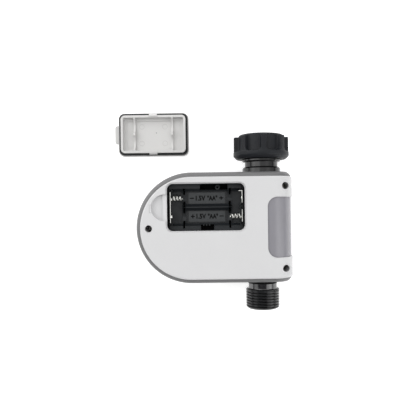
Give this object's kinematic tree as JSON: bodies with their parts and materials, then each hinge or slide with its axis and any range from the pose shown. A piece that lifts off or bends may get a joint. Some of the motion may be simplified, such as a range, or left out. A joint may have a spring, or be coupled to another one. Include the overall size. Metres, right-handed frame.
{
  "type": "irrigation controller",
  "caption": "Battery-powered hose-tap irrigation controller with swivel tap nut, threaded hose outlet and open battery compartment, its cover lying beside it.",
  "frame": {"origin": "on the front (rest) face, under the flow axis, half way up the case", "axes": "+Z out of the rear face, +Y along the flow axis towards the tap, +X towards the straight side beside the water pipe"},
  "size_m": [0.1476, 0.1658, 0.058],
  "materials": {
    "case_light": "satin",
    "case_grey": "satin",
    "soft_grip": "satin",
    "screw_steel": "plated",
    "seal_rubber": "matte",
    "black_nylon": "satin",
    "nut_matte": "matte",
    "fitting_gloss": "gloss",
    "screen_plastic": "satin",
    "nickel": "bright",
    "tube_steel": "drawn",
    "yoke_steel": "zinc",
    "magnet": "sintered",
    "bobbin_plastic": "satin",
    "copper_wire": "enamelled",
    "board_green": "solder mask",
    "chip_black": "satin",
    "lead_red": "satin",
    "lead_black": "satin",
    "window": "gloss",
    "lcd": "gloss",
    "button_rubber": "matte"
  },
  "bodies": {
    "case": {"battery_box": "black_nylon", "battery_leads": "lead_red", "board_components": "chip_black", "board_screws": "screw_steel", "bonnet_screws": "screw_steel", "bridge_spring": "nickel", "case_screws": "screw_steel", "case_seal": "seal_rubber", "circuit_board": "board_green", "coil_bobbin": "bobbin_plastic", "coil_winding": "copper_wire", "contact_bridge": "nickel", "contact_negative": "nickel", "contact_positive": "nickel", "core_tube": "tube_steel", "diaphragm": "seal_rubber", "display_window": "window", "front_shell": "case_grey", "grip_panel": "soft_grip", "hose_washer": "seal_rubber", "inlet_fitting": "fitting_gloss", "inlet_oring": "seal_rubber", "inlet_screen": "screen_plastic", "latch_magnet": "magnet", "lcd_glass": "lcd", "lcd_holder": "bobbin_plastic", "lead_connectors": "bobbin_plastic", "negative_spring": "nickel", "outlet_fitting": "fitting_gloss", "outlet_oring": "seal_rubber", "plunger_spring": "tube_steel", "pole_piece": "tube_steel", "rear_shell": "case_light", "solenoid_leads": "lead_black", "solenoid_yoke": "yoke_steel", "tact_switches": "chip_black", "valve_body": "black_nylon", "valve_bonnet": "black_nylon"},
    "cover": {"battery_cover": "case_light", "cover_gasket": "seal_rubber"},
    "nut": {"inlet_nut": "nut_matte"},
    "plunger": {"plunger": "tube_steel"},
    "disc": {"valve_disc": "black_nylon"},
    "key_mode": {"button_mode": "button_rubber"},
    "key_minus": {"button_minus": "button_rubber"},
    "key_plus": {"button_plus": "button_rubber"},
    "key_manual": {"button_manual": "button_rubber"}
  },
  "joints": [
    {"name": "nut_spin", "type": "hinge", "parent": "case", "child": "nut", "pos_m": [0, 0.0645, 0.031], "axis": [0, 1, 0], "continuous": true},
    {"name": "cover_lift", "type": "slide", "parent": "case", "child": "cover", "axis": [0, 0, 1], "range_m": [0, 0.06]},
    {"name": "plunger_slide", "type": "slide", "parent": "case", "child": "plunger", "axis": [-1, 0, 0], "range_m": [0, 0.0024], "stiffness_N_per_m": 150, "springref_m": -0.004, "deforming": ["plunger_spring"]},
    {"name": "disc_lift", "type": "slide", "parent": "case", "child": "disc", "axis": [-1, 0, 0], "range_m": [0, 0.0018], "deforming": ["diaphragm"]},
    {"name": "mode_press", "type": "slide", "parent": "case", "child": "key_mode", "axis": [0, 0, 1], "range_m": [0, 0.0006], "stiffness_N_per_m": 600, "springref_m": -0.0008},
    {"name": "minus_press", "type": "slide", "parent": "case", "child": "key_minus", "axis": [0, 0, 1], "range_m": [0, 0.0006], "stiffness_N_per_m": 600, "springref_m": -0.0008},
    {"name": "plus_press", "type": "slide", "parent": "case", "child": "key_plus", "axis": [0, 0, 1], "range_m": [0, 0.0006], "stiffness_N_per_m": 600, "springref_m": -0.0008},
    {"name": "manual_press", "type": "slide", "parent": "case", "child": "key_manual", "axis": [0, 0, 1], "range_m": [0, 0.0006], "stiffness_N_per_m": 600, "springref_m": -0.0008}
  ],
  "couplings": [
    {"joint": "disc_lift", "follows": "plunger_slide", "ratio": 0.75}
  ]
}
